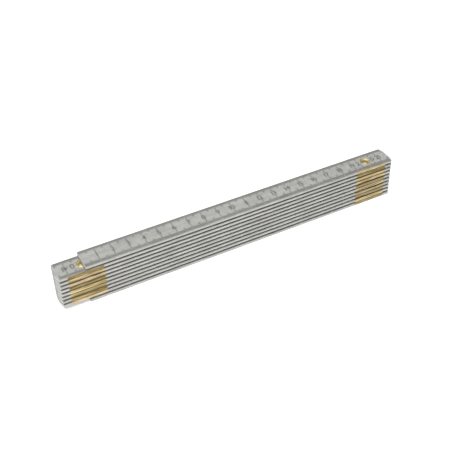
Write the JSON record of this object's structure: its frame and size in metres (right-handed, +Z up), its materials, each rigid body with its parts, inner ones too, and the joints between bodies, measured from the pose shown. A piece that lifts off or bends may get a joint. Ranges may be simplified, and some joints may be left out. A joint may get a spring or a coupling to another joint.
{
  "type": "folding rule",
  "caption": "Folding wooden rule: flat lacquered limbs with millimetre graduations, joined end to end by riveted spring joints in brass channel plates, folded into a stack.",
  "frame": {"origin": "under the middle of the folded stack, on the surface it lies on", "axes": "+X along the rule towards the end with five joints, +Y across it to the far edge, +Z up the stack"},
  "size_m": [0.235, 0.0154, 0.0278],
  "materials": {
    "lacquered_wood": "satin lacquer",
    "brass_plate": "satin plated sheet",
    "cup_brass": "bright plated sheet",
    "rivet_brass": "polished",
    "spring_steel": "bare spring steel"
  },
  "bodies": {
    "limb_10": {"slat_10": "lacquered_wood", "slat_10_cup_washers": "cup_brass", "joint_09_lower_plate": "brass_plate", "joint_09_detent_spring": "spring_steel", "joint_09_rivet": "rivet_brass"},
    "limb_09": {"slat_09": "lacquered_wood", "slat_09_cup_washers": "cup_brass", "joint_09_upper_plate": "brass_plate", "joint_08_lower_plate": "brass_plate", "joint_08_detent_spring": "spring_steel", "joint_08_rivet": "rivet_brass"},
    "limb_08": {"slat_08": "lacquered_wood", "slat_08_cup_washers": "cup_brass", "joint_08_upper_plate": "brass_plate", "joint_07_lower_plate": "brass_plate", "joint_07_detent_spring": "spring_steel", "joint_07_rivet": "rivet_brass"},
    "limb_07": {"slat_07": "lacquered_wood", "slat_07_cup_washers": "cup_brass", "joint_07_upper_plate": "brass_plate", "joint_06_lower_plate": "brass_plate", "joint_06_detent_spring": "spring_steel", "joint_06_rivet": "rivet_brass"},
    "limb_06": {"slat_06": "lacquered_wood", "slat_06_cup_washers": "cup_brass", "joint_06_upper_plate": "brass_plate", "joint_05_lower_plate": "brass_plate", "joint_05_detent_spring": "spring_steel", "joint_05_rivet": "rivet_brass"},
    "limb_05": {"slat_05": "lacquered_wood", "slat_05_cup_washers": "cup_brass", "joint_05_upper_plate": "brass_plate", "joint_04_lower_plate": "brass_plate", "joint_04_detent_spring": "spring_steel", "joint_04_rivet": "rivet_brass"},
    "limb_04": {"slat_04": "lacquered_wood", "slat_04_cup_washers": "cup_brass", "joint_04_upper_plate": "brass_plate", "joint_03_lower_plate": "brass_plate", "joint_03_detent_spring": "spring_steel", "joint_03_rivet": "rivet_brass"},
    "limb_03": {"slat_03": "lacquered_wood", "slat_03_cup_washers": "cup_brass", "joint_03_upper_plate": "brass_plate", "joint_02_lower_plate": "brass_plate", "joint_02_detent_spring": "spring_steel", "joint_02_rivet": "rivet_brass"},
    "limb_02": {"slat_02": "lacquered_wood", "slat_02_cup_washers": "cup_brass", "joint_02_upper_plate": "brass_plate", "joint_01_lower_plate": "brass_plate", "joint_01_detent_spring": "spring_steel", "joint_01_rivet": "rivet_brass"},
    "limb_01": {"slat_01": "lacquered_wood", "slat_01_cup_washers": "cup_brass", "joint_01_upper_plate": "brass_plate"}
  },
  "joints": [
    {"name": "hinge_09", "type": "hinge", "parent": "limb_10", "child": "limb_09", "pos_m": [0.1, 0, 0.00248], "axis": [0, 0, 1], "range_deg": [-180, 180]},
    {"name": "hinge_08", "type": "hinge", "parent": "limb_09", "child": "limb_08", "pos_m": [-0.1, 0, 0.00532], "axis": [0, 0, 1], "range_deg": [-180, 180]},
    {"name": "hinge_07", "type": "hinge", "parent": "limb_08", "child": "limb_07", "pos_m": [0.1, 0, 0.00817], "axis": [0, 0, 1], "range_deg": [-180, 180]},
    {"name": "hinge_06", "type": "hinge", "parent": "limb_07", "child": "limb_06", "pos_m": [-0.1, 0, 0.01103], "axis": [0, 0, 1], "range_deg": [-180, 180]},
    {"name": "hinge_05", "type": "hinge", "parent": "limb_06", "child": "limb_05", "pos_m": [0.1, 0, 0.01388], "axis": [0, 0, 1], "range_deg": [-180, 180]},
    {"name": "hinge_04", "type": "hinge", "parent": "limb_05", "child": "limb_04", "pos_m": [-0.1, 0, 0.01673], "axis": [0, 0, 1], "range_deg": [-180, 180]},
    {"name": "hinge_03", "type": "hinge", "parent": "limb_04", "child": "limb_03", "pos_m": [0.1, 0, 0.01957], "axis": [0, 0, 1], "range_deg": [-180, 180]},
    {"name": "hinge_02", "type": "hinge", "parent": "limb_03", "child": "limb_02", "pos_m": [-0.1, 0, 0.02243], "axis": [0, 0, 1], "range_deg": [-180, 180]},
    {"name": "hinge_01", "type": "hinge", "parent": "limb_02", "child": "limb_01", "pos_m": [0.1, 0, 0.02527], "axis": [0, 0, 1], "range_deg": [-180, 180]}
  ]
}
